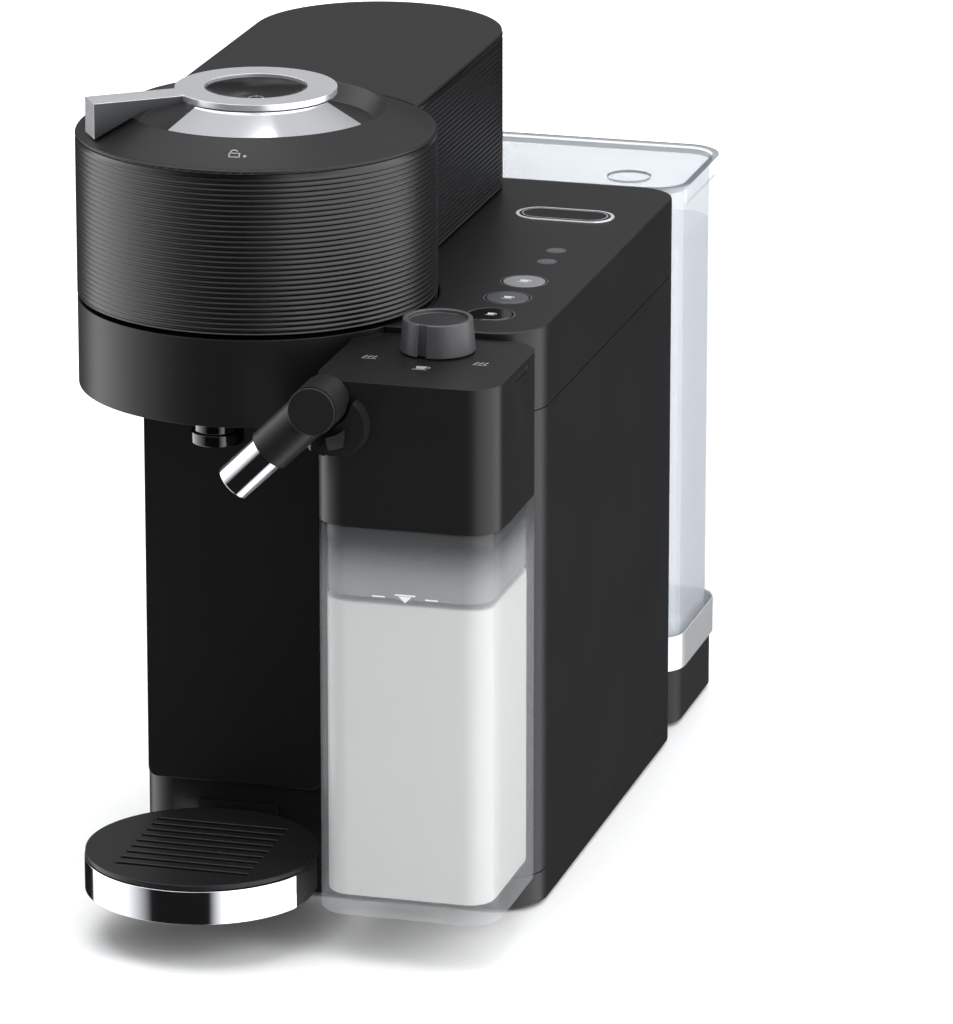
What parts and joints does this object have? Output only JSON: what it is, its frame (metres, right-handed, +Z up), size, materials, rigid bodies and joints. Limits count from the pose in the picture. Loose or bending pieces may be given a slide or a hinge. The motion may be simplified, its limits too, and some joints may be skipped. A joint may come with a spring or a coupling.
{
  "type": "pod coffee machine",
  "caption": "Pod coffee machine with a ribbed round brew head and locking lever, milk jug with swinging spout, clear water tank and a round cup support.",
  "frame": {"origin": "middle of the overall box at the table plane under the feet", "axes": "+Z up, front of the machine faces -Y, +X to the viewer's right when facing the front"},
  "size_m": [0.1926, 0.3986, 0.3142],
  "materials": {
    "black_matte_plastic": "matte fine grain",
    "black_ribbed_plastic": "satin with fine ribs",
    "dark_satin_plastic": "satin",
    "black_gloss_plastic": "gloss",
    "smoked_gloss_plastic": "gloss",
    "black_abs": "moulded",
    "chrome": "polished",
    "brushed_metal": "circular brushed",
    "stainless_steel": "satin",
    "grey_plastic": "satin",
    "clear_plastic": "clear",
    "frosted_jug_plastic": "translucent",
    "silicone_hose": "matte",
    "rubber": "matte",
    "motor_steel": "satin",
    "cast_aluminium": "cast",
    "board": "lacquered",
    "white_plastic": "moulded"
  },
  "bodies": {
    "machine": {"base_plate": "black_abs", "rubber_feet": "rubber", "base_screws": "stainless_steel", "bottom_skirt": "black_matte_plastic", "body_shell": "black_matte_plastic", "body_top_cover": "black_matte_plastic", "column_panel": "black_gloss_plastic", "brew_unit_housing": "black_matte_plastic", "coffee_spout": "black_gloss_plastic", "brew_chamber": "black_abs", "cup_bearing": "stainless_steel", "spin_motor": "motor_steel", "internal_frame": "black_abs", "water_pump": "motor_steel", "thermoblock": "cast_aluminium", "flow_meter": "white_plastic", "circuit_board": "board", "water_hose": "silicone_hose", "steam_hose": "silicone_hose", "cord_gland": "black_abs", "hinge_bracket": "black_abs", "badge": "chrome", "indicator_lenses": "smoked_gloss_plastic", "steam_nozzle": "stainless_steel", "guide_pins": "stainless_steel", "tray_bracket": "black_abs", "tank_dock": "black_abs"},
    "capsule_cup": {"capsule_cup": "stainless_steel"},
    "brew_head": {"head_shell": "black_ribbed_plastic", "head_top_cover": "dark_satin_plastic", "piercing_plate": "stainless_steel", "button_dish": "black_gloss_plastic", "hinge_pin": "stainless_steel"},
    "lever": {"lever_ring": "brushed_metal", "lever_skirt": "chrome", "lever_shaft": "stainless_steel"},
    "brew_button": {"brew_button": "black_gloss_plastic"},
    "select_button_1": {"select_button_1": "black_gloss_plastic"},
    "select_button_2": {"select_button_2": "smoked_gloss_plastic"},
    "select_button_3": {"select_button_3": "smoked_gloss_plastic"},
    "pod_bin": {"capsule_bin": "black_abs", "bin_front": "black_matte_plastic"},
    "drip_tray": {"drip_tray": "black_abs", "tray_band": "chrome"},
    "cup_plate": {"cup_plate": "black_abs"},
    "jug_lid": {"jug_lid": "black_matte_plastic", "port_seal": "silicone_hose", "milk_straw": "silicone_hose", "spout_collar": "black_matte_plastic"},
    "milk_jug": {"milk_jug": "frosted_jug_plastic"},
    "froth_knob": {"froth_knob": "grey_plastic"},
    "milk_spout": {"spout_arm": "dark_satin_plastic", "spout_cap": "dark_satin_plastic"},
    "spout_tube": {"spout_tube": "stainless_steel"},
    "latch_right": {"lid_latch_right": "black_abs"},
    "latch_left": {"lid_latch_left": "black_abs"},
    "water_tank": {"water_tank": "clear_plastic", "tank_band": "chrome", "tank_valve": "white_plastic"},
    "tank_lid": {"tank_lid": "clear_plastic"}
  },
  "joints": [
    {"name": "capsule_cup_spin", "type": "hinge", "parent": "machine", "child": "capsule_cup", "pos_m": [-0.0267, -0.0721, 0.2], "axis": [0, 0, 1], "continuous": true},
    {"name": "brew_head_hinge", "type": "hinge", "parent": "machine", "child": "brew_head", "pos_m": [-0.0267, 0.1329, 0.241], "axis": [-1, 0, 0], "range_deg": [0, 45]},
    {"name": "lever_turn", "type": "hinge", "parent": "brew_head", "child": "lever", "pos_m": [-0.0267, -0.0721, 0.3], "axis": [0, 0, 1], "range_deg": [0, 45]},
    {"name": "brew_button_press", "type": "slide", "parent": "brew_head", "child": "brew_button", "axis": [0, 0, -1], "range_m": [0, 0.0011], "stiffness_N_per_m": 400, "springref_m": -0.0004},
    {"name": "select_button_1_press", "type": "slide", "parent": "machine", "child": "select_button_1", "axis": [0, 0, -1], "range_m": [0, 0.001], "stiffness_N_per_m": 400, "springref_m": -0.0004},
    {"name": "select_button_2_press", "type": "slide", "parent": "machine", "child": "select_button_2", "axis": [0, 0, -1], "range_m": [0, 0.001], "stiffness_N_per_m": 400, "springref_m": -0.0004},
    {"name": "select_button_3_press", "type": "slide", "parent": "machine", "child": "select_button_3", "axis": [0, 0, -1], "range_m": [0, 0.001], "stiffness_N_per_m": 400, "springref_m": -0.0004},
    {"name": "pod_bin_slide", "type": "slide", "parent": "machine", "child": "pod_bin", "axis": [-1, 0, 0], "range_m": [0, 0.06]},
    {"name": "drip_tray_slide", "type": "slide", "parent": "machine", "child": "drip_tray", "axis": [0, -1, 0], "range_m": [0, 0.06]},
    {"name": "cup_plate_lift", "type": "slide", "parent": "drip_tray", "child": "cup_plate", "axis": [0, 0, 1], "range_m": [0, 0.04]},
    {"name": "jug_slide", "type": "slide", "parent": "machine", "child": "jug_lid", "axis": [0, -1, 0], "range_m": [0, 0.08]},
    {"name": "jug_drop", "type": "slide", "parent": "jug_lid", "child": "milk_jug", "axis": [0, 0, -1], "range_m": [0, 0.015]},
    {"name": "froth_knob_turn", "type": "hinge", "parent": "jug_lid", "child": "froth_knob", "pos_m": [0.0608, -0.127, 0.236], "axis": [0, 0, 1], "range_deg": [-60, 60]},
    {"name": "milk_spout_swing", "type": "hinge", "parent": "jug_lid", "child": "milk_spout", "pos_m": [0.0316, -0.1862, 0.2236], "axis": [0, 1, 0], "range_deg": [-10, 40]},
    {"name": "spout_tube_slide", "type": "slide", "parent": "milk_spout", "child": "spout_tube", "axis": [-0.7083, 0, -0.7059], "range_m": [0, 0.012]},
    {"name": "latch_right_press", "type": "slide", "parent": "jug_lid", "child": "latch_right", "axis": [-1, 0, 0], "range_m": [0, 0.0015], "stiffness_N_per_m": 300, "springref_m": -0.0004},
    {"name": "latch_left_press", "type": "slide", "parent": "jug_lid", "child": "latch_left", "axis": [1, 0, 0], "range_m": [0, 0.0015], "stiffness_N_per_m": 300, "springref_m": -0.0004},
    {"name": "water_tank_lift", "type": "slide", "parent": "machine", "child": "water_tank", "axis": [0, 0.7071, 0.7071], "range_m": [0, 0.1]},
    {"name": "tank_lid_lift", "type": "slide", "parent": "water_tank", "child": "tank_lid", "axis": [0, 0, 1], "range_m": [0, 0.05]}
  ]
}
